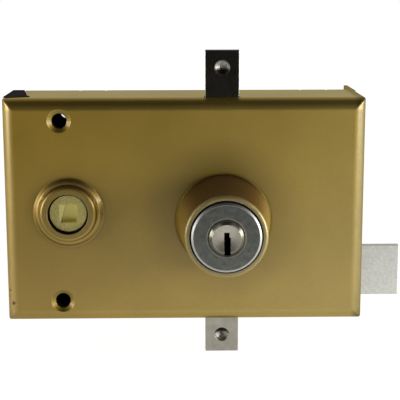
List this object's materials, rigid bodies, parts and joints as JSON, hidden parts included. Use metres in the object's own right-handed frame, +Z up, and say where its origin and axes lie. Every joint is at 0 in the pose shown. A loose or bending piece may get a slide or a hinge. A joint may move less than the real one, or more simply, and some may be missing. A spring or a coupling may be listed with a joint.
{
  "type": "surface-mounted multipoint lock",
  "caption": "Surface-mounted door lock: folded case, key cylinder in a tall boss, spindle hub, flat deadbolt to the side, rod ends above and below.",
  "frame": {"origin": "middle of the back plate's rear face, which lies on the door", "axes": "+X to the door's edge, where the bolt comes out; +Y into the door; +Z up; the front faces -Y"},
  "size_m": [0.158, 0.0867, 0.1201],
  "materials": {
    "lacquered_case": "gold metallic lacquer",
    "zinc_plate": "zinc plated, dull",
    "screw_steel": "zinc plated",
    "collar_steel": "satin, turned",
    "cylinder_brass": "machined",
    "plug_nickel": "nickel plated, turned",
    "spring_steel": "spring steel",
    "bolt_steel": "satin nickel plated",
    "rod_steel": "zinc plated, dull",
    "gear_steel": "sintered",
    "hub_brass": "turned, dull",
    "wedge_brass": "cast, dull",
    "black_plastic": "matte",
    "blackened_steel": "blackened, dull"
  },
  "bodies": {
    "lock_case": {"case_shell": "lacquered_case", "back_plate": "zinc_plate", "pillars": "zinc_plate", "back_plate_screws": "screw_steel", "fixing_sleeves": "blackened_steel", "carrier_plate": "zinc_plate", "corner_stops": "black_plastic", "cylinder_body": "cylinder_brass", "cylinder_collar": "collar_steel", "cylinder_screws": "screw_steel", "pin_cover": "cylinder_brass", "upper_pins": "cylinder_brass", "pin_springs": "spring_steel", "shaft_bearing": "zinc_plate", "transfer_axle": "zinc_plate", "axle_clip": "screw_steel", "bolt_guide": "black_plastic", "guide_post": "zinc_plate", "brake_spring": "spring_steel", "brake_rivet": "screw_steel", "top_rails": "zinc_plate", "bottom_rails": "zinc_plate", "follower_bush": "black_plastic", "follower_spacer": "zinc_plate"},
    "deadbolt": {"bolt_head": "bolt_steel", "bolt_tail": "bolt_steel", "bolt_rivets": "screw_steel"},
    "top_rod": {"top_rod_end": "rod_steel", "top_slide": "rod_steel", "top_rod_rivets": "screw_steel"},
    "bottom_rod": {"bottom_rod_end": "rod_steel", "bottom_slide": "rod_steel", "bottom_rod_rivets": "screw_steel"},
    "key_plug": {"cylinder_plug": "plug_nickel", "drive_shaft": "gear_steel", "drive_pinion": "gear_steel", "plug_clip": "screw_steel", "lower_pins": "cylinder_brass"},
    "transfer_gear": {"transfer_wheel": "gear_steel", "rack_pinion": "gear_steel"},
    "spindle_hub": {"follower_hub": "hub_brass", "follower_gear": "gear_steel", "socket_wedge": "wedge_brass"}
  },
  "joints": [
    {"name": "bolt_slide", "type": "slide", "parent": "lock_case", "child": "deadbolt", "axis": [1, 0, 0], "range_m": [-0.01759, 0]},
    {"name": "top_rod_slide", "type": "slide", "parent": "lock_case", "child": "top_rod", "axis": [0, 0, 1], "range_m": [-0.01759, 0]},
    {"name": "bottom_rod_slide", "type": "slide", "parent": "lock_case", "child": "bottom_rod", "axis": [0, 0, -1], "range_m": [-0.01759, 0]},
    {"name": "key_turn", "type": "hinge", "parent": "lock_case", "child": "key_plug", "pos_m": [0.015, -0.0677, -0.0035], "axis": [0, 1, 0], "range_deg": [-720, 0]},
    {"name": "transfer_turn", "type": "hinge", "parent": "lock_case", "child": "transfer_gear", "pos_m": [0.015, -0.0065, 0.0165], "axis": [0, 1, 0], "range_deg": [0, 180]},
    {"name": "spindle_turn", "type": "hinge", "parent": "lock_case", "child": "spindle_hub", "pos_m": [-0.045, -0.0372, 0], "axis": [0, 1, 0], "range_deg": [0, 90]}
  ],
  "couplings": [
    {"joint": "top_rod_slide", "follows": "bolt_slide", "ratio": 1},
    {"joint": "bottom_rod_slide", "follows": "bolt_slide", "ratio": 1},
    {"joint": "key_turn", "follows": "bolt_slide", "rad_per_m": 714.29},
    {"joint": "transfer_turn", "follows": "bolt_slide", "rad_per_m": -178.57},
    {"joint": "spindle_turn", "follows": "bolt_slide", "rad_per_m": -89.286}
  ]
}
